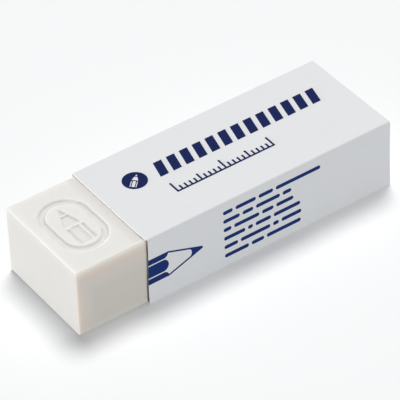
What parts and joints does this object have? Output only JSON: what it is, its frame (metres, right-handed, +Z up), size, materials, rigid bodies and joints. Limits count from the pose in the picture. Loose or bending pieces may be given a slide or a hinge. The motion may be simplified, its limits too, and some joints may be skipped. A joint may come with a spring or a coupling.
{
  "type": "rubber eraser",
  "caption": "Rectangular white vinyl eraser block in a folded white card sleeve that slides along it, with a bare end that carries a sunk emblem, and plain navy print on the card.",
  "frame": {"origin": "on the surface that the sleeve lies on, under the middle of the whole object", "axes": "+X along the block, from its bare end towards the sleeve's far mouth; the sleeve's printed side faces -Y; +Z up, through the sleeve's printed top"},
  "size_m": [0.065, 0.0226, 0.014],
  "materials": {
    "vinyl": "matte",
    "card": "satin",
    "ink": "satin"
  },
  "bodies": {
    "sleeve": {"card_sleeve": "card", "top_print": "ink", "side_print": "ink"},
    "eraser": {"eraser_block": "vinyl"}
  },
  "joints": [
    {"name": "block_slide", "type": "slide", "parent": "sleeve", "child": "eraser", "axis": [-1, 0, 0], "range_m": [-0.0138, 0.0515]}
  ]
}
